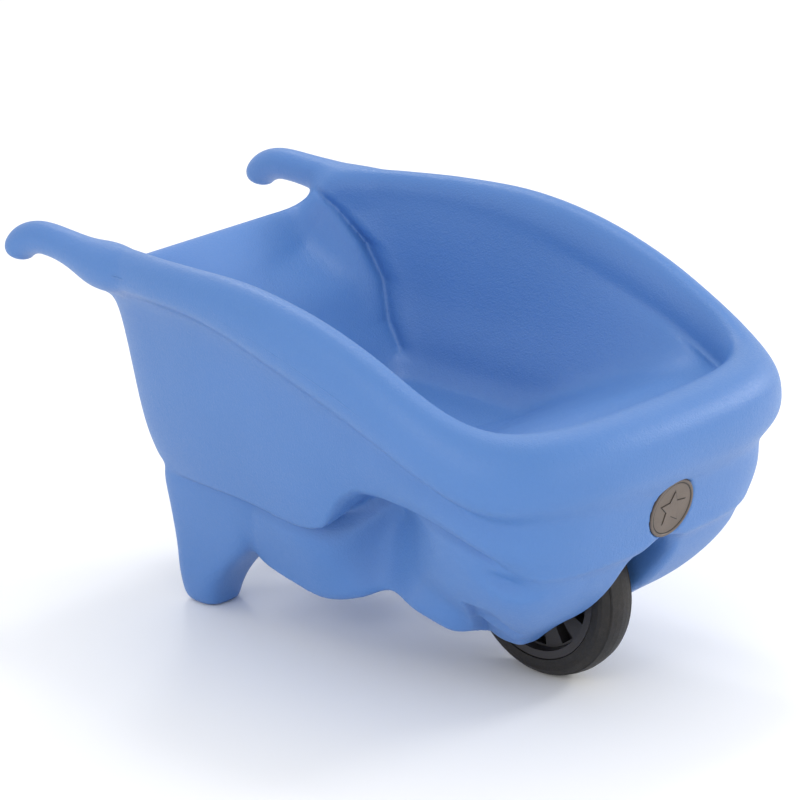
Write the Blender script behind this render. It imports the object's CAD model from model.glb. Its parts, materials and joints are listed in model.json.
import json
import math
import bpy
import bmesh
import numpy as np
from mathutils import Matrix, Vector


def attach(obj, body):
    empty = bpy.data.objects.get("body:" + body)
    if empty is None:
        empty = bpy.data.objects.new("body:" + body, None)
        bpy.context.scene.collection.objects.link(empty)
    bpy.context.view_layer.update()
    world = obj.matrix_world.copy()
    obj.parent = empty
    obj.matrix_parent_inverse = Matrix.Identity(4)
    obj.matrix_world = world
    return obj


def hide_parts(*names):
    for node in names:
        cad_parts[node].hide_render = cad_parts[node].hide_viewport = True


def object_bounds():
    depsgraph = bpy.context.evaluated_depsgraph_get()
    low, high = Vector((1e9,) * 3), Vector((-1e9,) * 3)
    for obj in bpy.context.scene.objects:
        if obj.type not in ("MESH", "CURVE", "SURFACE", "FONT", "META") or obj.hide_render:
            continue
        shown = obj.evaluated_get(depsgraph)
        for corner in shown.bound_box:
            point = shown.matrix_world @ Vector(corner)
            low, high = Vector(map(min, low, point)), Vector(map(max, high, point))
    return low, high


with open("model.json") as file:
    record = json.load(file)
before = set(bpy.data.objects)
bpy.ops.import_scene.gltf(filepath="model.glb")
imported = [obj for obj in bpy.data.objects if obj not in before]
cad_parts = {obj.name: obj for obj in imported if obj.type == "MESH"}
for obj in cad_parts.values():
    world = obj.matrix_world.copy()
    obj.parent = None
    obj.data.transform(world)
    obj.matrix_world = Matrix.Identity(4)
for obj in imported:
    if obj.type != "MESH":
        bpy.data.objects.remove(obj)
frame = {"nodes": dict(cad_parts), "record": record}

import openvdb
from mathutils import Vector, Matrix

cad_lo, cad_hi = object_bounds()[0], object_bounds()[1]
record = frame["record"]
MM = 0.001

DIM = {"floor_level": 218.0, "rear_edge_x": -290.0, "front_crest_x": 356.0, "front_face_x": 403.0,
       "hook_y": 187.0, "hook_radius": 19.0, "bulb_radius": 18.0}


def D(name):
    return DIM[name]


class V:
    """Small 3-vector used by the handle's control net."""

    def __init__(self, x, y=None, z=None):
        if isinstance(x, V):
            x, y, z = x.x, x.y, x.z
        self.x, self.y, self.z = float(x), float(y), float(z)

    def normalize(self):
        n = math.sqrt(self.x ** 2 + self.y ** 2 + self.z ** 2)
        self.x, self.y, self.z = self.x / n, self.y / n, self.z / n
        return self

    def cross(self, o):
        return V(self.y * o.z - self.z * o.y, self.z * o.x - self.x * o.z, self.x * o.y - self.y * o.x)

    def add(self, o):
        return V(self.x + o.x, self.y + o.y, self.z + o.z)

    def multiply(self, k):
        self.x, self.y, self.z = self.x * k, self.y * k, self.z * k
        return self


# ---------------------------------------------------------------- control nets of the moulding
# ------------------------------------------------------------------ table helpers
def lerp_table(tab, x, col):
    if x <= tab[0][0]:
        return tab[0][col]
    for a, b in zip(tab, tab[1:]):
        if x <= b[0]:
            k = (x - a[0]) / (b[0] - a[0])
            k = k * k * (3 - 2 * k) * 0.35 + k * 0.65
            return a[col] + (b[col] - a[col]) * k
    return tab[-1][col]


def smooth(k):
    k = min(1.0, max(0.0, k))
    return k * k * (3 - 2 * k)


# One half of a plan ring, from the middle of the rear (Y = 0) round the left side to the
# middle of the front, as HALF + 1 points spread by length and by turning.
HALF = 26


def half_ring(xr, xf, wfun, zfun, nr, nf, xc):
    dense = []
    for i in range(721):
        th = math.pi * (1 - i / 720.0)
        c, s = math.cos(th), math.sin(th)
        n = nr if c < 0 else nf
        a = (xc - xr) if c < 0 else (xf - xc)
        x = xc + math.copysign(a * abs(c) ** (2.0 / n), c)
        dense.append((x, wfun(x) * abs(s) ** (2.0 / n)))
    cum = [0.0]
    last = None
    length = sum(math.dist(p, q) for p, q in zip(dense, dense[1:]))
    for p, q in zip(dense, dense[1:]):
        ds = math.dist(p, q)
        ang = math.atan2(q[1] - p[1], q[0] - p[0]) if ds > 1e-9 else last
        turn = 0.0 if last is None else abs((ang - last + math.pi) % (2 * math.pi) - math.pi)
        last = ang
        cum.append(cum[-1] + ds / length * 0.72 + min(turn, 0.5) / math.pi * 0.28)
    out = []
    j = 0
    for k in range(HALF + 1):
        t = cum[-1] * k / HALF
        while j < len(cum) - 2 and cum[j + 1] < t:
            j += 1
        f = (t - cum[j]) / max(1e-12, cum[j + 1] - cum[j])
        p, q = dense[j], dense[j + 1]
        x, y = p[0] + (q[0] - p[0]) * f, p[1] + (q[1] - p[1]) * f
        if k in (0, HALF):
            y = 0.0
        out.append((x, y, zfun(x, y)))
    return out


# ------------------------------------------------------------------ tub skin rings
# x, half width and level of the rim crest along the side
CREST = [(-290, 196, 416), (-257, 198, 415.5), (-223, 201, 417.5), (-200, 203, 420.5),
         (-153, 211, 423.5), (-118, 216, 426.5), (-87, 219, 428), (-55, 221.5, 430),
         (-25, 223, 431), (5, 225, 429.5), (35, 226.5, 426.5), (64, 228, 422),
         (93, 229, 416.5), (121.5, 230, 409), (149, 230, 401.5), (175, 229.5, 391.5),
         (201, 229, 379.5), (226.5, 229, 368), (251, 229, 357.5), (273, 229, 348.5),
         (294, 229, 341.5), (313, 229, 338), (330, 229, 337), (356, 229, 337.5)]
# soft valley where the rim roll meets the flank
VALLEY = [(-290, 186, 364), (-248, 193, 368), (-182, 199, 372), (-126, 208, 376),
          (-82, 213, 376), (-12, 218, 365), (57, 221, 345), (124, 222, 324),
          (202, 222, 298), (271, 222, 269), (300, 222, 257), (338, 222, 252), (380, 222, 258)]
# fold at the flank's lower edge
FOLD = [(-230, 169, 174), (-178, 167, 164), (-116, 172, 167), (-52, 175, 168),
        (11, 180, 162), (45, 181, 158), (68, 184, 172), (95, 189, 203), (120, 194, 224),
        (165, 200, 235), (217, 205, 235), (270, 207, 221), (315, 209, 201), (344, 210, 188),
        (380, 210, 185)]


def ring_from(tab, xr, xf, zr=None, zf=None, nr=9.0, nf=3.1, xc=190.0, dw=0.0, dz=0.0):
    rear_z = lerp_table(tab, xr, 2) + dz if zr is None else zr

    def w(x):
        return lerp_table(tab, x, 1) + dw

    def z(x, y):
        v = lerp_table(tab, x, 2) + dz
        if zf is not None and x > xf - 60:
            v += (zf - v) * smooth((x - (xf - 60)) / 60.0)
        if x < xr + 70 and zr is not None:
            k = smooth((abs(y) - 0.70 * w(xr)) / (0.30 * w(xr)))
            m = 1 - smooth((x - xr - 25) / 45.0)
            v = v + (rear_z - v) * (1 - k) * m
        return v
    return half_ring(xr, xf, w, z, nr, nf, xc)


def bowed(half, xr, bow):
    """Pushes the middle of a ring's rear edge forward by bow, fading to nothing at the corners."""
    w = max(y for x, y, z in half if x < xr + 60)
    out = []
    for x, y, z in half:
        k = 1 - smooth((x - xr) / 60.0)
        out.append((x + bow * k * max(0.0, 1.06 - math.hypot(y / w, 0.12)), y, z))
    return out


def roll_h(x):
    return lerp_table(CREST, x, 2) - lerp_table(VALLEY, x, 2)


def roll_ring(xr, xf, zr, zf, out, down, nr=9.0, nf=3.1):
    def w(x):
        return lerp_table(CREST, x, 1) + out * min(1.0, 0.25 + 0.75 * roll_h(x) / 76.0)

    def z(x, y):
        v = lerp_table(CREST, x, 2) - down * roll_h(x)
        if x > xf - 60:
            v += (zf - v) * smooth((x - (xf - 60)) / 60.0)
        if x < xr + 70:
            k = smooth((abs(y) - 0.70 * w(xr)) / (0.30 * w(xr)))
            m = 1 - smooth((x - xr - 25) / 45.0)
            v = v + (zr - v) * (1 - k) * m
        return v
    return half_ring(xr, xf, w, z, nr, nf, 190.0)


def flat_ring(xr, xf, w0, z, nr, nf, xc):
    return half_ring(xr, xf, lambda x: w0, lambda x, y: z, nr, nf, xc)


def mid_tab(a, b, k, bulge):
    xs = sorted(set([p[0] for p in a] + [p[0] for p in b]))
    return [(x, lerp_table(a, x, 1) * (1 - k) + lerp_table(b, x, 1) * k + bulge,
             lerp_table(a, x, 2) * (1 - k) + lerp_table(b, x, 2) * k) for x in xs]


def ramp_ring(xr, xf, w0, zside, nr, nf, xc):
    return half_ring(xr, xf, lambda x: w0, lambda x, y: zside, nr, nf, xc)


def tub_rings():
    fl = D("floor_level")
    re_x, cr_x, ff_x = D("rear_edge_x"), D("front_crest_x"), D("front_face_x")
    rings = [
        flat_ring(-70, 50, 70, fl, 5, 4, 0),
        flat_ring(-98, 72, 106, fl, 6, 4, 0),
        flat_ring(-109, 84, 121, fl + 1, 7, 5, 0),
        flat_ring(-115, 92, 128, fl + 5, 8, 5.5, 0),
        flat_ring(-124, 106, 137, fl + 14, 8, 5.5, 6),
        flat_ring(-132, 124, 143, fl + 23, 9, 5.5, 14),
        flat_ring(-146, 152, 149, fl + 38, 9, 5.5, 30),
        flat_ring(-168, 205, 160, fl + 60, 10, 5.5, 60),
        flat_ring(-188, 262, 173, fl + 86, 10, 5, 100),
    ]
    # upper inside wall, then the rim from its inner side over the crest to the valley
    up = mid_tab([(x, w - 29, z - 34) for x, w, z in CREST], [(0, 182, 320)], 0.42, 0)
    rings.append(bowed(ring_from(up, -226, 312, zr=322, zf=313, nr=10, nf=4.2, xc=150), -226, 16))
    rings.append(bowed(roll_ring(re_x + 18, cr_x - 24, 333, 324, -29, 0.55, 11, 3.8), re_x + 18, 52))
    rings.append(bowed(roll_ring(re_x + 12, cr_x - 21, 341, 327, -28, 0.36, 10, 3.6), re_x + 12, 48))
    rings.append(bowed(roll_ring(re_x + 8, cr_x - 17, 356, 332, -22, 0.14, 9, 3.4), re_x + 8, 26))
    rings.append(bowed(roll_ring(re_x + 5, cr_x - 9, 366, 337, -12, -0.03, 9, 3.2), re_x + 5, 10))
    rings.append(roll_ring(re_x + 1, cr_x + 6, 372, 340, 2, -0.05, 9, 3.1))
    rings.append(roll_ring(re_x - 7, cr_x + 27, 371, 336, 17, 0.07, 9, 3.0))
    rings.append(roll_ring(re_x - 10, ff_x - 2, 363, 318, 25.5, 0.30, 9, 2.95))
    rings.append(roll_ring(re_x - 8, ff_x, 354, 296, 27, 0.58, 9, 3.0))
    rings.append(roll_ring(re_x - 1, ff_x - 4, 346, 275, 22, 0.83, 9, 3.15))
    rings.append(ring_from(VALLEY, re_x + 8, 386, zr=334, zf=256, nf=3.4, dw=-1))
    rings.append(ring_from(mid_tab(VALLEY, FOLD, 0.22, 0), -269, 379.5, zr=315, zf=246, nf=3.6))
    rings.append(ring_from(mid_tab(VALLEY, FOLD, 0.5, 5), -255, 376, zr=265, zf=226, nf=3.8))
    rings.append(ring_from(mid_tab(VALLEY, FOLD, 0.8, 5), -246, 371.5, zr=208, zf=203, nf=3.8))
    rings.append(ring_from(FOLD, -238, 368.5, zr=176, zf=190, nr=8, nf=3.6, dw=3, dz=6))
    rings.append(ring_from(FOLD, -232, 366, zr=168, zf=185, nr=8, nf=3.5, dw=1, dz=-1))
    rings.append(ring_from(FOLD, -214, 354, zr=172, zf=186, nr=7, nf=2.8, dw=-12, dz=4))
    rings.append(ring_from(FOLD, -180, 330, zr=180, zf=195, nr=6, nf=3.0, dw=-40, dz=9))
    rings.append(flat_ring(-120, 240, 90, 190, 5, 3.5, 60))
    rings.append(flat_ring(-80, 180, 60, 190, 5, 3.5, 60))
    return rings


def close_ring(half):
    return half + [(x, -y, z) for x, y, z in reversed(half[1:-1])]


def plinth_rings():
    top = [(-200, 156, 178), (-100, 161, 172), (-52, 165, 170), (11, 170, 164), (42, 171, 160),
           (56, 148, 166), (72, 124, 174), (92, 118, 182), (130, 130, 186), (170, 150, 188),
           (215, 168, 188)]
    mid = [(-180, 149, 128), (-52, 152, 125), (11, 155, 118), (40, 155, 114), (54, 142, 118),
           (68, 124, 122), (92, 119, 126), (130, 130, 128), (170, 144, 128), (215, 153, 126)]
    low = [(-110, 137, 86), (-75, 137, 82), (-28, 138, 76), (18, 139, 67), (36, 139, 70),
           (51, 134, 78), (80, 131, 86), (130, 135, 90), (170, 137, 84), (190, 136, 76),
           (212, 134, 74)]
    under = [(x, w - 16, z - 5) for x, w, z in low]
    core = [(x, w - 46, z + 12) for x, w, z in low]
    return [
        flat_ring(-130, 170, 90, 200, 5, 5, 20),
        flat_ring(-150, 190, 122, 198, 5, 5, 20),
        ring_from(top, -180, 214, nr=6, nf=8, xc=60),
        ring_from(mid, -150, 212, nr=6, nf=9, xc=60),
        ring_from(low, -122, 208, nr=6, nf=10, xc=60, dz=8),
        ring_from(low, -114, 206, nr=6, nf=10, xc=60, dz=-6, dw=-2),
        ring_from(under, -98, 198, nr=6, nf=9, xc=60),
        ring_from(core, -70, 176, nr=5, nf=7, xc=60),
        flat_ring(-40, 140, 55, 104, 4, 4, 50),
    ]


def lobe_rings():
    q1 = [(60, 96, 222), (100, 116, 228), (125, 142, 238), (165, 180, 252), (217, 199, 254),
          (270, 204, 244), (315, 208, 224), (344, 209, 206), (374, 209, 200)]
    q2 = [(60, 102, 168), (100, 119, 168), (130, 135, 168), (165, 155, 168), (217, 175, 168),
          (270, 188, 166), (315, 196, 164), (358, 198, 166)]
    q3 = [(80, 108, 133), (100, 117, 133), (130, 131, 133), (165, 147, 133), (217, 163, 133),
          (270, 167, 133), (330, 167, 133)]
    return [
        flat_ring(110, 290, 70, 214, 4, 3, 220),
        flat_ring(90, 325, 100, 212, 4, 3, 220),
        ring_from(q1, 70, 366, nr=5, nf=3.8, xc=210),
        ring_from(q2, 76, 352, nr=5, nf=4.4, xc=215),
        ring_from(q3, 92, 330, nr=5, nf=5.5, xc=220),
        flat_ring(150, 304, 134, 106, 3.6, 7, 222),
        flat_ring(170, 280, 119, 90, 3.4, 7, 222),
        flat_ring(184, 262, 107, 77, 3.2, 6, 222),
        flat_ring(192, 243, 91, 60, 3, 4.5, 219),
        flat_ring(199, 236, 76, 52, 3, 3.4, 218),
        flat_ring(206, 230, 55, 51, 3, 3, 218),
    ]


def loop_ring(x0, x1, y0, y1, z, n, count=20):
    xc, yc, a, b = (x0 + x1) / 2, (y0 + y1) / 2, (x1 - x0) / 2, (y1 - y0) / 2
    out = []
    for i in range(count):
        t = 2 * math.pi * (i + 0.5) / count
        c, s = math.cos(t), math.sin(t)
        out.append((xc + a * math.copysign(abs(c) ** (2.0 / n), c),
                    yc + b * math.copysign(abs(s) ** (2.0 / n), s), z))
    return out


def leg_grid():
    rows = [(-190, -100, 110, 148, 205, 4), (-200, -74, 104, 158, 190, 4.5),
            (-210, -60, 98, 163, 168, 5), (-210, -68, 86, 153, 130, 5),
            (-211, -92, 78, 143, 92, 5), (-212, -124, 73, 137, 64, 4.4),
            (-214, -144, 70, 134, 42, 3.8),
            (-215, -159, 68, 128, 18, 3.2), (-211, -163, 69, 123, 0.0, 3),
            (-199, -170, 76, 112, 0.0, 3), (-192, -176, 84, 102, 0.0, 3)]
    out = [loop_ring(*r) for r in rows]
    out[-1] = [(x, y, 0.0) for x, y, z in out[-1]]
    out[-2] = [(x, y, 0.0) for x, y, z in out[-2]]
    return out


def handle_grid(wall=0.0):
    hy, hr, br = D("hook_y"), D("hook_radius") - wall, D("bulb_radius") - wall
    stations = [(-388.5, hy, 371.5, 0.25), (-388.5, hy, 373.5, 0.62), (-387.0, hy, 378.0, 0.97),
                (-383.5, hy, 385.0, 1.02), (-375.0, hy, 393.0, 1.0), (-360.0, hy, 400.0, 0.98),
                (-343.0, hy, 402.5, 0.96), (-318.0, hy + 1, 401.5, 0.97),
                (-296.0, hy + 3, 399.5, 1.03), (-270.0, hy + 5, 396.0, 1.2),
                (-240.0, hy + 8, 393.0, 1.25), (-215.0, hy + 10, 393.0, 1.0),
                (-205.0, hy + 11, 393.0, 0.4)]
    if wall:
        stations = [(x, y, z + (3.5 if k == 0 else 3.0 if k == 1 else 0), f) for k, (x, y, z, f)
                    in enumerate(stations)]
    out = []
    n = len(stations)
    for k, (x, y, z, f) in enumerate(stations):
        a = stations[max(0, k - 1)]
        b = stations[min(n - 1, k + 1)]
        t = V(b[0] - a[0], b[1] - a[1], b[2] - a[2])
        t.normalize()
        if k == 0 or k == 1:
            t = V(0.25, 0, 0.97)
            t.normalize()
        side = V(0, 1, 0)
        up = t.cross(side)
        up.normalize()
        side = up.cross(t)
        r = (br if k < 4 else hr) * f
        row = []
        for i in range(16):
            ang = 2 * math.pi * i / 16
            p = V(x, y, z).add(V(side).multiply(r * math.cos(ang))).add(V(up).multiply(r * math.sin(ang)))
            row.append((p.x, p.y, p.z))
        out.append(row)
    return out





def spline_surface(net, su=3, sv=3):
    """Points of the uniform bicubic B-spline: closed round the ring, clamped from first to last ring."""
    P = np.array(net, float)
    nv, nu, _ = P.shape

    def basis(t):
        return np.array([(1 - t) ** 3, 3 * t ** 3 - 6 * t ** 2 + 4,
                         -3 * t ** 3 + 3 * t ** 2 + 3 * t + 1, t ** 3]) / 6.0
    U = np.zeros((nv, nu * su, 3))
    for k in range(su):
        w = basis(k / su)
        U[:, k::su] = (w[0] * np.roll(P, 1, 1) + w[1] * P + w[2] * np.roll(P, -1, 1)
                       + w[3] * np.roll(P, -2, 1))
    # clamped cubic in the other direction, by the Cox-de Boor recursion
    n = nv - 3
    knots = np.r_[[0.0] * 3, np.arange(n + 1), [float(n)] * 3]
    t = np.linspace(0, n, n * sv + 1)
    t[-1] -= 1e-9
    B = np.zeros((len(t), len(knots) - 1))
    for i in range(len(knots) - 1):
        B[:, i] = (t >= knots[i]) & (t < knots[i + 1])
    for p in range(1, 4):
        N = np.zeros((len(t), len(knots) - 1 - p))
        for i in range(len(knots) - 1 - p):
            d1, d2 = knots[i + p] - knots[i], knots[i + p + 1] - knots[i + 1]
            if d1 > 0:
                N[:, i] += (t - knots[i]) / d1 * B[:, i]
            if d2 > 0:
                N[:, i] += (knots[i + p + 1] - t) / d2 * B[:, i + 1]
        B = N
    return np.einsum("vj,juc->vuc", B, U)


def closed_mesh(grid):
    nv, nu, _ = grid.shape
    pts = grid.reshape(-1, 3)
    j, i = np.meshgrid(np.arange(nv - 1), np.arange(nu), indexing="ij")
    i2 = (i + 1) % nu
    quads = np.stack([j * nu + i, j * nu + i2, (j + 1) * nu + i2, (j + 1) * nu + i], -1).reshape(-1, 4)
    a, b = len(pts), len(pts) + 1
    pts = np.vstack([pts, grid[0].mean(0), grid[-1].mean(0)])
    k = np.arange(nu)
    k2 = (k + 1) % nu
    tris = np.vstack([np.stack([np.full(nu, a), k2, k], -1),
                      np.stack([np.full(nu, b), (nv - 1) * nu + k, (nv - 1) * nu + k2], -1)])
    return pts, quads, tris


class Field:
    """Signed distances on a regular grid, in millimetres."""

    def __init__(self, lo, hi, step, band=9):
        self.lo, self.step, self.band = np.array(lo, float), float(step), band
        self.n = tuple(int(math.ceil((h - l) / step)) + 1 for l, h in zip(lo, hi))
        self.d = None

    def axes(self):
        return [self.lo[k] + self.step * np.arange(self.n[k]) for k in range(3)]

    def from_mesh(self, pts, quads, tris):
        q = ((pts - self.lo) / self.step).astype(np.float32)
        g = openvdb.FloatGrid.createLevelSetFromPolygons(
            q, triangles=tris.astype(np.uint32), quads=quads.astype(np.uint32),
            transform=openvdb.createLinearTransform(1.0), halfWidth=float(self.band))
        out = np.empty(self.n, np.float32)
        g.copyToArray(out, ijk=(0, 0, 0))
        return out * self.step

    def surface(self):
        g = openvdb.FloatGrid(float(self.band))
        g.copyFromArray(np.ascontiguousarray(self.d / self.step, dtype=np.float32), ijk=(0, 0, 0),
                        tolerance=0.0)
        pts, quads = g.convertToQuads(0.0)
        return np.array(pts, float) * self.step + self.lo, np.array(quads, int)


def smin(a, b, k):
    h = np.maximum(k - np.abs(a - b), 0.0) / k
    return np.minimum(a, b) - h * h * k * 0.25


def smax(a, b, k):
    return -smin(-a, -b, k)


def relax(pts, quads, rounds, lock=None, lam=0.5, mu=-0.52):
    """Taubin smoothing on the quad mesh's edges."""
    e = np.vstack([quads[:, [0, 1]], quads[:, [1, 2]], quads[:, [2, 3]], quads[:, [3, 0]]])
    e = np.vstack([e, e[:, ::-1]])
    n = len(pts)
    deg = np.bincount(e[:, 0], minlength=n).astype(float)
    deg[deg == 0] = 1
    for r in range(rounds):
        for f in (lam, mu):
            s = np.stack([np.bincount(e[:, 0], weights=pts[e[:, 1], c], minlength=n) for c in range(3)], -1)
            move = (s / deg[:, None] - pts) * f
            if lock is not None:
                move[lock] = 0
            pts = pts + move
    return pts


def mesh_object(name, pts, faces, mat, smooth=True, body=None):
    me = bpy.data.meshes.new(name)
    me.from_pydata([tuple(p) for p in pts], [], [tuple(int(v) for v in f) for f in faces])
    me.update()
    if smooth:
        me.shade_smooth()
    ob = bpy.data.objects.new(name, me)
    bpy.context.scene.collection.objects.link(ob)
    if mat:
        me.materials.append(mat)
    if body:
        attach(ob, body)
    return ob


def fix_winding(ob):
    bm = bmesh.new()
    bm.from_mesh(ob.data)
    bmesh.ops.recalc_face_normals(bm, faces=bm.faces)
    bm.to_mesh(ob.data)
    bm.free()
    ob.data.update()


# ---------------------------------------------------------------- materials
def srgb(h):
    c = [int(h[i:i + 2], 16) / 255 for i in (1, 3, 5)]
    return [x / 12.92 if x <= 0.04045 else ((x + 0.055) / 1.055) ** 2.4 for x in c] + [1.0]


def new_mat(name):
    m = bpy.data.materials.new(name)
    m.use_nodes = True
    nt = m.node_tree
    nt.nodes.clear()
    out = nt.nodes.new("ShaderNodeOutputMaterial")
    b = nt.nodes.new("ShaderNodeBsdfPrincipled")
    nt.links.new(b.outputs["BSDF"], out.inputs["Surface"])
    return m, nt, b


def noise(nt, scale, detail=2.0, rough=0.5, coord=None, kind="ShaderNodeTexNoise"):
    n = nt.nodes.new(kind)
    n.inputs["Scale"].default_value = scale
    if "Detail" in n.inputs:
        n.inputs["Detail"].default_value = detail
    if "Roughness" in n.inputs:
        n.inputs["Roughness"].default_value = rough
    if coord is not None:
        nt.links.new(coord, n.inputs["Vector"])
    return n


def ramp(nt, src, stops):
    r = nt.nodes.new("ShaderNodeValToRGB")
    r.color_ramp.elements[0].position, r.color_ramp.elements[0].color = stops[0]
    r.color_ramp.elements[1].position, r.color_ramp.elements[1].color = stops[-1]
    for p, c in stops[1:-1]:
        e = r.color_ramp.elements.new(p)
        e.color = c
    nt.links.new(src, r.inputs["Fac"])
    return r


def grey(v):
    return (v, v, v, 1.0)


def map_range(nt, src, a, b, c, d):
    m = nt.nodes.new("ShaderNodeMapRange")
    for k, v in zip(("From Min", "From Max", "To Min", "To Max"), (a, b, c, d)):
        m.inputs[k].default_value = v
    nt.links.new(src, m.inputs["Value"])
    return m


def bump(nt, height, strength, dist, normal=None):
    b = nt.nodes.new("ShaderNodeBump")
    b.inputs["Strength"].default_value = strength
    b.inputs["Distance"].default_value = dist
    nt.links.new(height, b.inputs["Height"])
    if normal is not None:
        nt.links.new(normal, b.inputs["Normal"])
    return b


def body_material():
    m, nt, b = new_mat("blue_polyethylene")
    tc = nt.nodes.new("ShaderNodeTexCoord")
    co = tc.outputs["Object"]
    big = noise(nt, 3.2, 3, 0.55, co)
    base = ramp(nt, big.outputs["Fac"], [(0.30, srgb("#4A79B9")), (0.72, srgb("#517FC0"))])
    fine = noise(nt, 900.0, 2, 0.6, co)
    mix = nt.nodes.new("ShaderNodeMix")
    mix.data_type = "RGBA"
    mix.blend_type = "MULTIPLY"
    mix.inputs["Factor"].default_value = 0.16
    nt.links.new(base.outputs["Color"], mix.inputs[6])
    tone = ramp(nt, fine.outputs["Fac"], [(0.25, grey(0.72)), (0.75, grey(1.0))])
    nt.links.new(tone.outputs["Color"], mix.inputs[7])
    nt.links.new(mix.outputs[2], b.inputs["Base Color"])
    # pebbled moulding grain about a millimetre across, over a slow orange-peel waviness
    peb = noise(nt, 1.0, 0, 0.5, co, "ShaderNodeTexVoronoi")
    peb.inputs["Scale"].default_value = 720.0
    grain = noise(nt, 430.0, 3, 0.65, co)
    peel = noise(nt, 95.0, 2, 0.5, co)
    rough = map_range(nt, grain.outputs["Fac"], 0.3, 0.7, 0.34, 0.50)
    nt.links.new(rough.outputs["Result"], b.inputs["Roughness"])
    b1 = bump(nt, peel.outputs["Fac"], 0.12, 0.0020)
    b2 = bump(nt, grain.outputs["Fac"], 0.42, 0.0013, b1.outputs["Normal"])
    b3 = bump(nt, peb.outputs["Distance"], 0.16, 0.0006, b2.outputs["Normal"])
    nt.links.new(b3.outputs["Normal"], b.inputs["Normal"])
    b.inputs["IOR"].default_value = 1.5
    b.inputs["Specular IOR Level"].default_value = 0.5
    b.inputs["Subsurface Weight"].default_value = 0.06
    b.inputs["Subsurface Radius"].default_value = (0.25, 0.5, 1.0)
    b.inputs["Subsurface Scale"].default_value = 0.006
    return m


def plastic(name, c0, c1, r0, r1, grain_scale=400.0, strength=0.15, dist=0.0004):
    m, nt, b = new_mat(name)
    tc = nt.nodes.new("ShaderNodeTexCoord")
    co = tc.outputs["Object"]
    n = noise(nt, 25.0, 4, 0.6, co)
    base = ramp(nt, n.outputs["Fac"], [(0.3, srgb(c0)), (0.7, srgb(c1))])
    nt.links.new(base.outputs["Color"], b.inputs["Base Color"])
    g = noise(nt, grain_scale, 3, 0.6, co)
    r = map_range(nt, g.outputs["Fac"], 0.3, 0.7, r0, r1)
    nt.links.new(r.outputs["Result"], b.inputs["Roughness"])
    bp = bump(nt, g.outputs["Fac"], strength, dist)
    nt.links.new(bp.outputs["Normal"], b.inputs["Normal"])
    return m


def metal(name, c0, c1, r0, r1, axis_scale=(300.0, 6.0, 300.0)):
    m, nt, b = new_mat(name)
    tc = nt.nodes.new("ShaderNodeTexCoord")
    mp = nt.nodes.new("ShaderNodeMapping")
    mp.inputs["Scale"].default_value = axis_scale
    nt.links.new(tc.outputs["Object"], mp.inputs["Vector"])
    n = noise(nt, 1.0, 4, 0.6, mp.outputs["Vector"])
    base = ramp(nt, n.outputs["Fac"], [(0.3, srgb(c0)), (0.7, srgb(c1))])
    nt.links.new(base.outputs["Color"], b.inputs["Base Color"])
    r = map_range(nt, n.outputs["Fac"], 0.3, 0.7, r0, r1)
    nt.links.new(r.outputs["Result"], b.inputs["Roughness"])
    bp = bump(nt, n.outputs["Fac"], 0.1, 0.0002)
    nt.links.new(bp.outputs["Normal"], b.inputs["Normal"])
    b.inputs["Metallic"].default_value = 1.0
    return m


def rubber_material():
    m, nt, b = new_mat("solid_rubber")
    tc = nt.nodes.new("ShaderNodeTexCoord")
    co = tc.outputs["Object"]
    n = noise(nt, 18.0, 4, 0.6, co)
    base = ramp(nt, n.outputs["Fac"], [(0.3, srgb("#0D0B0A")), (0.7, srgb("#171210"))])
    dust = noise(nt, 160.0, 5, 0.7, co)
    mix = nt.nodes.new("ShaderNodeMix")
    mix.data_type = "RGBA"
    nt.links.new(map_range(nt, dust.outputs["Fac"], 0.45, 0.8, 0.0, 0.25).outputs["Result"], mix.inputs["Factor"])
    nt.links.new(base.outputs["Color"], mix.inputs[6])
    mix.inputs[7].default_value = srgb("#4A403A")
    nt.links.new(mix.outputs[2], b.inputs["Base Color"])
    g = noise(nt, 700.0, 3, 0.6, co)
    r = map_range(nt, g.outputs["Fac"], 0.3, 0.7, 0.48, 0.66)
    nt.links.new(r.outputs["Result"], b.inputs["Roughness"])
    bp = bump(nt, g.outputs["Fac"], 0.25, 0.0004)
    nt.links.new(bp.outputs["Normal"], b.inputs["Normal"])
    return m


BLUE = body_material()
RUBBER = rubber_material()
HUB = plastic("hub_polypropylene", "#2B2829", "#353233", 0.36, 0.5)
BADGE = plastic("badge_taupe", "#5B5048", "#675B52", 0.42, 0.55, 600.0, 0.2, 0.0003)
BADGE_DARK = plastic("badge_recess", "#1E1A18", "#26211E", 0.5, 0.6)
BLACK = plastic("black_nylon", "#141414", "#1D1D1D", 0.35, 0.5)
NATURAL = plastic("natural_nylon", "#C9C3B0", "#D6D1C0", 0.4, 0.55)
PLUGB = plastic("plug_blue", "#4A78C4", "#5080CC", 0.4, 0.55)
ZINC = metal("zinc_plate", "#A9ACB0", "#C2C5C9", 0.25, 0.42)
STEEL = metal("bright_steel", "#B9BBBE", "#D3D5D7", 0.16, 0.3)
BRASS = metal("turned_brass", "#B08D45", "#C9A65A", 0.25, 0.4)

# ---------------------------------------------------------------- the one-piece moulding
STEP = 2.25
field = Field((-420, -270, -14), (420, 270, 448), STEP, band=max(6, int(round(26 / STEP))))


def comp(net, su=3, sv=4):
    return field.from_mesh(*closed_mesh(spline_surface(net, su, sv)))


def mirror(net):
    return [[(x, -y, z) for x, y, z in row] for row in net]


ax, ay, az = field.axes()
X, Y, Z = ax[:, None, None], ay[None, :, None], az[None, None, :]


def along_x(stops):
    """A blend width that changes along the length of the barrow."""
    return np.interp(ax, [s[0] for s in stops], [s[1] for s in stops])[:, None, None]


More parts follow.
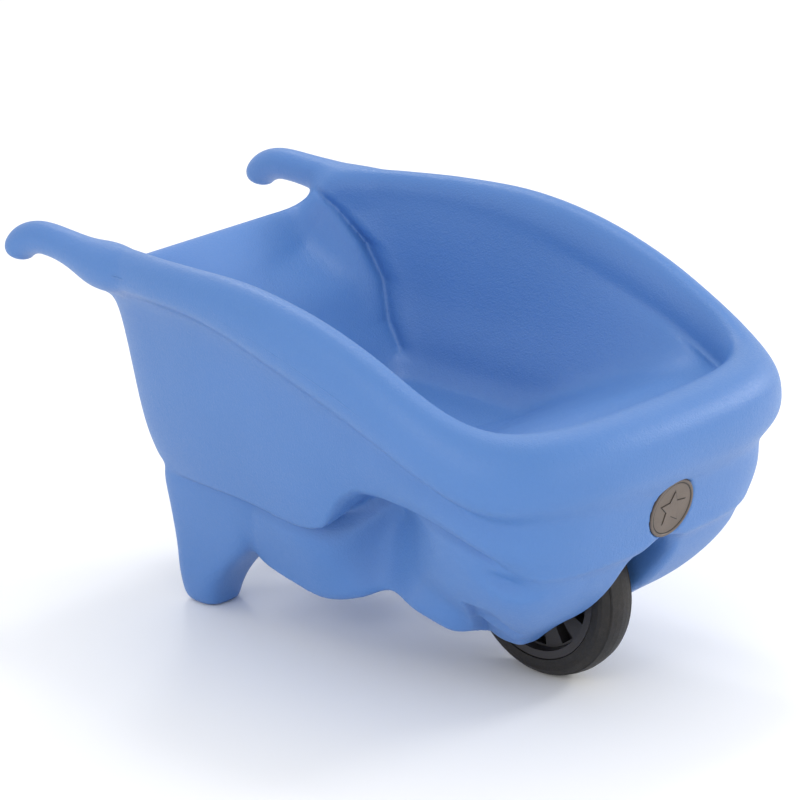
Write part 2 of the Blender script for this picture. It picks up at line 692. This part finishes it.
# under the flank: a crisp fold at the back, a soft scoop in the middle, crisp again, then flowing into the front
K_FOLD = along_x([(-200, 5), (35, 5), (70, 26), (125, 26), (175, 7), (285, 7), (330, 18), (350, 20)])
K_LOBE = 4.0 + 14.0 * np.clip((Z - 118.0) / 30.0, 0, 1)
lower = comp([close_ring(r) for r in plinth_rings()])
lower = smin(lower, comp([close_ring(r) for r in lobe_rings()]), K_LOBE)
leg = leg_grid()
lower = smin(lower, comp(leg), 7.0)
lower = smin(lower, comp(mirror(leg)), 7.0)
d = smin(comp([close_ring(r) for r in tub_rings()]), lower, K_FOLD)
hand = handle_grid()
d = smin(d, comp(hand), 19.0)
d = smin(d, comp(mirror(hand)), 19.0)


def table(v, stops):
    return np.interp(v, [s[0] for s in stops], [s[1] for s in stops])


AY = np.abs(Y)
# the scoop under the flank: a steep side behind, a long slope running out to the front
def eased(values, reach):
    n = max(1, int(round(reach / STEP)))
    w = np.hanning(2 * n + 3)[1:-1]
    return np.convolve(np.pad(values, n, mode="edge"), w / w.sum(), "valid")


fold_z = eased(table(ax, [(30, 150), (45, 156), (68, 170), (95, 200), (120, 220), (165, 232), (217, 236)]), 12)[:, None, None]
open_w = eased(table(ax, [(30, 190), (44, 158), (58, 134), (74, 113), (92, 109), (118, 119), (150, 140), (190, 172),
                          (225, 210)]), 12)[:, None, None]
limit = (open_w + 0.030 * np.maximum(0, Z - fold_z + 40.0) ** 2 + 0.0075 * np.maximum(0, 128.0 - Z) ** 2)
d = smax(d, (AY - limit) * 0.75, 16.0)
# calm the surface under the flank, where the forms run into each other
zs = slice(0, int(np.searchsorted(az, 172.0)))
xs = slice(int(np.searchsorted(ax, -10.0)), int(np.searchsorted(ax, 350.0)))
calm = d[xs, :, zs].copy()
n = 4
taps = np.hanning(2 * n + 3)[1:-1]
taps = (taps / taps.sum()).astype(calm.dtype)
for _pass in range(2):
    for axis in range(3):
        wide = np.pad(calm, [(n, n) if a == axis else (0, 0) for a in range(3)], mode="edge")
        size = calm.shape[axis]
        calm = sum(t * np.take(wide, np.arange(i, i + size), axis=axis) for i, t in enumerate(taps))
mix = (np.clip((ax[xs] + 10.0) / 40.0, 0, 1) * np.clip((350.0 - ax[xs]) / 40.0, 0, 1))[:, None, None]
mix = mix * np.clip((AY[:, :, :] - 84.0) / 20.0, 0, 1) * np.clip((172.0 - az[zs]) / 22.0, 0, 1)[None, None, :]
d[xs, :, zs] = d[xs, :, zs] * (1 - mix) + calm * mix
# the step where the plinth ends beside the front lobe
end_x = 209.0 + 0.5 * (Z - 83.0)
side = table(az, [(40, 74), (53, 81), (60, 87), (75, 99), (89, 110), (106, 121), (118, 133), (130, 156),
                  (150, 230)])[None, None, :]
step = np.maximum(np.maximum(side - AY + 0 * X, end_x - X + 0 * Y), X - 272.0 + 0 * Y + 0 * Z)
d = smax(d, -step, 3.0)
under = np.maximum(np.maximum(side - 14.0 - AY + 0 * X, end_x - X + 0 * Y), Z - 101.0 + 0.7 * (X - 213.0) + 0 * Y)
under = np.maximum(under, X - 272.0)
d = smax(d, -under, 3.0)
# soft hollow below the fold at the front corner
dent = (np.sqrt(((X - 334) / 44.0) ** 2 + ((AY - 194) / 27.0) ** 2 + ((Z - 168 + 0.3 * (X - 334)) / 15.0) ** 2) - 1) * 15.0
d = smax(d, -dent, 12.0)
# crisp upright corner inside, from the floor to the handle roots
cx = table(az, [(236, -118), (244, -130), (267, -156), (306, -179), (342, -210), (375, -246), (399, -284), (450, -300)])[None, None, :]
cy = table(az, [(236, 134), (244, 143), (267, 154), (306, 170), (342, 175), (375, 167), (399, 158), (450, 156)])[None, None, :]
wall_y = cy - 1.5 - 0.30 * np.maximum(0, X - cx - 6.0)
wall_x = cx + 1.0 + 0.20 * np.maximum(0, cy - AY - 6.0)
nook = np.maximum(np.maximum(AY - wall_y, (wall_x - X) * 0.8), 240.0 - Z)
nook = np.maximum(nook, np.maximum(X - cx - 70.0, cy - AY - 60.0))
d = smax(d, -nook, 8.0)
WX, WZ, WH, WR, ARCH = 215.0, 100.0, 37.0, 121.0, 153.0
drum = smax(np.hypot(X - WX, Z - WZ) - WR + 0 * Y, np.abs(Y) - WH + 0 * X + 0 * Z, 8.0)
low = smax(np.maximum(np.abs(X - WX) - WR, Z - WZ) + 0 * Y, np.abs(Y) - WH + 0 * X + 0 * Z, 2.0)
slab = np.where(Z > ARCH, np.hypot(Y, Z - ARCH) - WH, np.abs(Y) - WH) + 0 * X
slab = np.maximum(slab, WX - X)
well = np.minimum(np.minimum(drum, low), slab)
d = smax(d, -well, 13.0)
d = np.maximum(d, -np.maximum(np.hypot(X - WX, Z - WZ) - 6.5 + 0 * Y, np.abs(Y) - 63.3))
d = np.maximum(d, -np.maximum(np.maximum(np.abs(X - WX) - 6.5, Z - WZ) + 0 * Y, np.abs(Y) - 63.3))
TILT = math.radians(12.6)
NX, NZ = math.cos(TILT), -math.sin(TILT)
BX, BZ = 375.6, 225.0
along = (X - BX) * NX + (Z - BZ) * NZ
across = np.sqrt(Y ** 2 + ((X - BX) * -NZ + (Z - BZ) * NX) ** 2)
seat = np.maximum(across - 33.5, -along - 3.2)
d = smax(d, -seat, 1.5)
field.d = d
pts, quads = field.surface()
pts = relax(pts, quads, 6)
# stay inside the design's box
lo = np.array(cad_lo) * 1000
hi = np.array(cad_hi) * 1000
pts = np.clip(pts, lo + 0.02, hi - 0.02)
tub = mesh_object("tub_shell", pts * MM, quads, BLUE, body="barrow")
fix_winding(tub)
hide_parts("tub_moulding")
print("tub mesh", len(pts), len(quads))

# ---------------------------------------------------------------- parting line round the rim
from mathutils.bvhtree import BVHTree
from mathutils import kdtree

skin = spline_surface([close_ring(r) for r in tub_rings()], 4, 6)
rows = skin.shape[0]
first = int(rows * 0.42)
plan = np.hypot(skin[..., 0] * 0.64, skin[..., 1])
inside = skin[..., 2] > 262
far = np.where(inside, plan, -1.0)
far[:first] = -1.0
pick = np.argmax(far, axis=0)
pick = np.round(np.convolve(np.r_[pick[-9:], pick, pick[:9]], np.ones(19) / 19, "valid")).astype(int)
line = skin[pick, np.arange(skin.shape[1])]
tree = BVHTree.FromPolygons([tuple(p) for p in pts], [tuple(q) for q in quads.tolist()])
keep = []
for p in line:
    if p[0] < -238:
        continue
    hit, nrm, _i, _d = tree.find_nearest(Vector(p))
    out = Vector((p[0] * 0.25, p[1], 0.0)).normalized()
    nrm = nrm if nrm.dot(out) > 0 else -nrm
    keep.append((hit, nrm))
keep.sort(key=lambda h: math.atan2(h[0].y, h[0].x - (-238)))
P = np.array([list(h[0]) for h in keep])
N = np.array([list(h[1]) for h in keep])
for _k in range(6):
    P[1:-1] = (P[:-2] + 2 * P[1:-1] + P[2:]) / 4
    N[1:-1] = (N[:-2] + 2 * N[1:-1] + N[2:]) / 4
N /= np.linalg.norm(N, axis=1)[:, None]
T = np.gradient(P, axis=0)
T /= np.linalg.norm(T, axis=1)[:, None]
S = np.cross(T, N)
section = [(-1.1, -0.8), (-0.75, 0.1), (0.0, 0.42), (0.75, 0.1), (1.1, -0.8)]
taper = np.clip(np.minimum(np.arange(len(P)), np.arange(len(P))[::-1]) / 24.0, 0.0, 1)
vs = np.concatenate([(P + S * a + N * ((b + 0.8) * taper - 0.8)[:, None])[:, None] for a, b in section], axis=1)
m = len(section)
fs = [(i * m + j, i * m + (j + 1) % m, (i + 1) * m + (j + 1) % m, (i + 1) * m + j)
      for i in range(len(P) - 1) for j in range(m)]
fs += [tuple(range(m)), tuple(range((len(P) - 1) * m, len(P) * m))[::-1]]
flash = mesh_object("parting_line", np.clip(vs.reshape(-1, 3), lo + 0.02, hi - 0.02) * MM, fs, BLUE, body="barrow")
fix_winding(flash)

# ---------------------------------------------------------------- small pieces: finishes on the design's own nodes
for node, mat in (("badge_disc", BADGE), ("vent_plug", PLUGB), ("tyre", RUBBER), ("wheel_hub", HUB),
                  ("hub_cap_left", BLACK), ("hub_cap_right", BLACK), ("roller_cage", NATURAL),
                  ("bearing_rollers", STEEL), ("bearing_sleeve", STEEL), ("axle_pin", ZINC),
                  ("spacer_left", BLACK), ("spacer_right", BLACK), ("axle_plate_left", ZINC),
                  ("axle_plate_right", ZINC), ("plate_screws", ZINC), ("threaded_inserts", BRASS)):
    ob = frame["nodes"][node]
    ob.data.materials.clear()
    ob.data.materials.append(mat)

# dark line round the foot of the badge's star and round its rim
def badge_point(u, v, h):
    """u across, v up the disc, h out of it; millimetres to metres."""
    up = (-NZ, NX)
    return ((BX + up[0] * v + NX * h) * MM, u * MM, (BZ + up[1] * v + NZ * h) * MM)


def ring_strip(name, inner, outer, h0, h1):
    n = len(inner)
    v = []
    for (a, b) in ((inner, h0), (inner, h1), (outer, h1), (outer, h0)):
        v += [badge_point(p[0], p[1], b) for p in a]
    f = [(k * n + i, k * n + (i + 1) % n, ((k + 1) % 4) * n + (i + 1) % n, ((k + 1) % 4) * n + i)
         for k in range(4) for i in range(n)]
    ob = mesh_object(name, v, f, BADGE_DARK, smooth=False, body="barrow")
    fix_winding(ob)
    return ob


def star_pts(R, r):
    out = []
    for i in range(10):
        a = math.pi / 2 + i * math.pi / 5
        q = R if i % 2 == 0 else r
        out.append((q * math.cos(a), q * math.sin(a)))
    return out


def circle_pts(R, n=96):
    return [(R * math.cos(2 * math.pi * i / n), R * math.sin(2 * math.pi * i / n)) for i in range(n)]


ring_strip("badge_star_line", star_pts(19.05, 9.22), star_pts(21.6, 10.3), -0.15, 0.12)
ring_strip("badge_rim_line", circle_pts(28.2), circle_pts(29.35), -0.15, 0.12)

# ---------------------------------------------------------------- stage, light, camera
def plane_mat(name, col):
    m, nt, b = new_mat(name)
    b.inputs["Base Color"].default_value = col
    b.inputs["Roughness"].default_value = 0.9
    return m


bm = bmesh.new()
S = 6.0
prof = [(-S, 0.0), (S, 0.0)]
v = [bm.verts.new(p) for p in ((-S, -S, 0), (S, -S, 0), (S, S, 0), (-S, S, 0))]
bm.faces.new(v)
me = bpy.data.meshes.new("floor")
bm.to_mesh(me)
bm.free()
floor = bpy.data.objects.new("floor", me)
bpy.context.scene.collection.objects.link(floor)
me.materials.append(plane_mat("paper_floor", (0.93, 0.93, 0.93, 1)))

world = bpy.data.worlds.new("studio")
bpy.context.scene.world = world
world.use_nodes = True
bg = world.node_tree.nodes["Background"]
bg.inputs["Color"].default_value = (1, 1, 1, 1)
bg.inputs["Strength"].default_value = 0.97


def area(name, loc, target, size, power, size_y=None):
    L = bpy.data.lights.new(name, "AREA")
    L.energy = power
    L.size = size
    if size_y:
        L.shape = "RECTANGLE"
        L.size_y = size_y
    o = bpy.data.objects.new(name, L)
    bpy.context.scene.collection.objects.link(o)
    o.location = loc
    o.rotation_euler = (Vector(target) - Vector(loc)).to_track_quat("-Z", "Y").to_euler()
    return o


area("front", (3.0, 0.5, 1.0), (0.2, 0, 0.25), 1.3, 11)
area("side", (0.3, -2.7, 1.6), (0, 0, 0.3), 1.3, 16)
area("behind_left", (-1.6, 1.0, 2.0), (0.0, -0.1, 0.35), 0.4, 7)
area("overhead", (-0.35, 0.65, 2.4), (0.2, -0.1, 0.35), 0.4, 7)
area("right_back", (1.25, 2.5, 1.45), (0.3, 0.05, 0.3), 0.75, 24, 0.5)

AZ, EL = 0.7399, 0.3458
f_px, dist = 4354.03, 4.6428
back = Vector((math.sin(AZ) * math.cos(EL), -math.cos(AZ) * math.cos(EL), math.sin(EL)))
target = Vector((-0.20984 + 0.215, 0.0, 0.25133))
cam = bpy.data.cameras.new("camera")
cam.sensor_width = 36.0
cam.lens = 36.0 * f_px / 800.0
cam.shift_x = -2.19 / 800.0
cam.shift_y = 0.20 / 800.0
cam.clip_end = 50
co = bpy.data.objects.new("camera", cam)
bpy.context.scene.collection.objects.link(co)
co.location = target + back * dist
co.rotation_euler = back.to_track_quat("Z", "Y").to_euler()
bpy.context.scene.camera = co
bpy.context.scene.view_settings.view_transform = "Standard"
